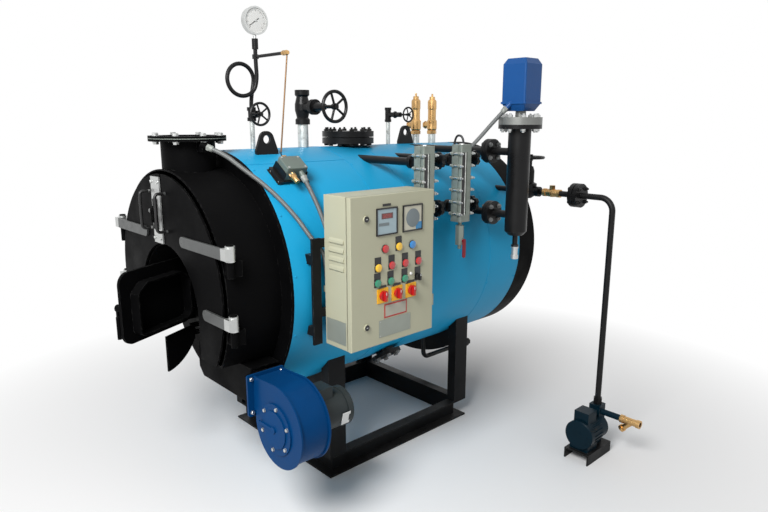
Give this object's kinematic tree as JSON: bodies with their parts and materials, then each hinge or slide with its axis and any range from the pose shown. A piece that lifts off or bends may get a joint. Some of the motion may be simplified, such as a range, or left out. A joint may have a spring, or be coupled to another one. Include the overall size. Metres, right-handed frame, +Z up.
{
  "type": "horizontal fire tube steam boiler",
  "caption": "Lagged horizontal fire-tube steam boiler on a channel skid, with hinged smokebox and furnace doors, control panel, level gauges, float chamber, blower and feed pump.",
  "frame": {"origin": "on the floor under the middle of the skid's front cross beam", "axes": "+Z up; +Y from the smokebox doors along the drum to its rear cover; +X toward the control panel and the gauges"},
  "size_m": [1.8, 2.0039, 2.0065],
  "materials": {
    "painted_blue": "satin",
    "blower_blue": "gloss",
    "black_paint": "matte",
    "panel_paint": "satin",
    "galvanised": "satin",
    "zinc_plate": "satin",
    "gauge_iron": "satin",
    "brass": "satin",
    "aluminium": "satin",
    "motor_grey": "satin",
    "pump_blue": "satin",
    "switch_grey": "satin",
    "instrument": "gloss",
    "red_plastic": "satin",
    "black_plastic": "matte",
    "conduit": "matte",
    "rubber": "matte"
  },
  "bodies": {
    "boiler": {"blowdown": "black_paint", "blower_housing": "blower_blue", "blower_motor": "motor_grey", "brass_fittings": "brass", "cable_loop": "rubber", "chamber_head": "aluminium", "chimney": "black_paint", "controller_conduit": "conduit", "controller_housing": "blower_blue", "dial_gauge": "zinc_plate", "drain_cocks": "galvanised", "feed_pipes": "black_paint", "feed_valve": "black_paint", "float_chamber": "black_paint", "flue_conduit": "conduit", "furnace": "black_paint", "gauge_arms": "black_paint", "gauge_valve": "black_paint", "inspection_flanges": "black_paint", "lagged_shell": "painted_blue", "level_gauges": "gauge_iron", "lifting_lugs": "black_paint", "panel_box": "panel_paint", "panel_posts": "black_paint", "pressure_switch": "switch_grey", "pump_base": "black_paint", "pump_head": "pump_blue", "pump_motor": "pump_blue", "rear_cover": "black_paint", "safety_valves": "brass", "siphon": "black_paint", "skid_frame": "black_paint", "smokebox": "black_paint", "switch_conduit": "conduit", "top_pipes": "galvanised", "top_valves": "black_paint", "tube_plate": "black_paint", "wind_box": "black_paint"},
    "left_smoke_door": {"smoke_door_left": "black_paint", "strap_set_left": "zinc_plate"},
    "right_smoke_door": {"smoke_door_right": "black_paint", "strap_set_right": "zinc_plate"},
    "furnace_door": {"fire_door": "black_paint"},
    "door_latch": {"fire_latch": "black_paint"},
    "ash_leaf": {"ash_door": "black_paint"},
    "cabinet_door": {"panel_door": "panel_paint", "panel_instruments": "instrument"},
    "isolator_knob_a": {"isolator_a": "red_plastic"},
    "isolator_knob_b": {"isolator_b": "red_plastic"},
    "isolator_knob_c": {"isolator_c": "red_plastic"},
    "selector_knob": {"selector": "black_plastic"},
    "steam_handwheel": {"steam_wheel": "black_paint"},
    "vent_handwheel": {"vent_wheel": "black_paint"},
    "gauge_handwheel": {"gauge_valve_wheel": "black_paint"},
    "feed_handwheel": {"feed_wheel": "black_paint"},
    "cock_1": {"cock_wheel_1": "black_plastic"},
    "cock_2": {"cock_wheel_2": "black_plastic"},
    "cock_3": {"cock_wheel_3": "black_plastic"},
    "cock_4": {"cock_wheel_4": "black_plastic"},
    "gauge_drain_lever": {"drain_lever": "red_plastic"}
  },
  "joints": [
    {"name": "left_smoke_door_hinge", "type": "hinge", "parent": "boiler", "child": "left_smoke_door", "pos_m": [-0.484, -0.505, 0.9715], "axis": [0, 0, -1], "range_deg": [0, 105]},
    {"name": "right_smoke_door_hinge", "type": "hinge", "parent": "boiler", "child": "right_smoke_door", "pos_m": [0.484, -0.505, 0.9715], "axis": [0, 0, 1], "range_deg": [0, 105]},
    {"name": "furnace_door_hinge", "type": "hinge", "parent": "boiler", "child": "furnace_door", "pos_m": [-0.215, -0.339, 0.775], "axis": [0, 0, -1], "range_deg": [-66, 6]},
    {"name": "door_latch_turn", "type": "hinge", "parent": "furnace_door", "child": "door_latch", "pos_m": [-0.03932, -0.69426, 0.822], "axis": [0.9135, 0.4067, 0], "range_deg": [0, 90]},
    {"name": "ash_leaf_hinge", "type": "hinge", "parent": "boiler", "child": "ash_leaf", "pos_m": [-0.206, -0.339, 0.616], "axis": [0, 0, -1], "range_deg": [-64, 6]},
    {"name": "cabinet_door_hinge", "type": "hinge", "parent": "boiler", "child": "cabinet_door", "pos_m": [0.692, 0.296, 0.992], "axis": [0, 0, 1], "range_deg": [0, 115]},
    {"name": "isolator_a_turn", "type": "hinge", "parent": "cabinet_door", "child": "isolator_knob_a", "pos_m": [0.707, 0.008, 0.897], "axis": [1, 0, 0], "range_deg": [0, 90]},
    {"name": "isolator_b_turn", "type": "hinge", "parent": "cabinet_door", "child": "isolator_knob_b", "pos_m": [0.707, 0.084, 0.894], "axis": [1, 0, 0], "range_deg": [0, 90]},
    {"name": "isolator_c_turn", "type": "hinge", "parent": "cabinet_door", "child": "isolator_knob_c", "pos_m": [0.707, 0.16, 0.892], "axis": [1, 0, 0], "range_deg": [0, 90]},
    {"name": "selector_turn", "type": "hinge", "parent": "cabinet_door", "child": "selector_knob", "pos_m": [0.707, 0.198, 0.94], "axis": [1, 0, 0], "range_deg": [-45, 45]},
    {"name": "steam_valve_turn", "type": "hinge", "parent": "boiler", "child": "steam_handwheel", "pos_m": [0.236, 0.162, 1.606], "axis": [1, 0, 0], "continuous": true},
    {"name": "vent_valve_turn", "type": "hinge", "parent": "boiler", "child": "vent_handwheel", "pos_m": [0.146, 0.695, 1.576], "axis": [1, 0, 0], "continuous": true},
    {"name": "gauge_valve_turn", "type": "hinge", "parent": "boiler", "child": "gauge_handwheel", "pos_m": [0.068, -0.103, 1.574], "axis": [1, 0, 0], "continuous": true},
    {"name": "feed_valve_turn", "type": "hinge", "parent": "boiler", "child": "feed_handwheel", "pos_m": [0.622, 1.065, 1.372], "axis": [0, 0, 1], "continuous": true},
    {"name": "cock_1_turn", "type": "hinge", "parent": "boiler", "child": "cock_1", "pos_m": [0.554, 0.472, 1.378], "axis": [0, 1, 0], "continuous": true},
    {"name": "cock_2_turn", "type": "hinge", "parent": "boiler", "child": "cock_2", "pos_m": [0.554, 0.472, 1.172], "axis": [0, 1, 0], "continuous": true},
    {"name": "cock_3_turn", "type": "hinge", "parent": "boiler", "child": "cock_3", "pos_m": [0.554, 0.707, 1.378], "axis": [0, 1, 0], "continuous": true},
    {"name": "cock_4_turn", "type": "hinge", "parent": "boiler", "child": "cock_4", "pos_m": [0.554, 0.707, 1.172], "axis": [0, 1, 0], "continuous": true},
    {"name": "gauge_drain_turn", "type": "hinge", "parent": "boiler", "child": "gauge_drain_lever", "pos_m": [0.6253, 0.572, 1.024], "axis": [1, 0, 0], "range_deg": [0, 90]}
  ]
}
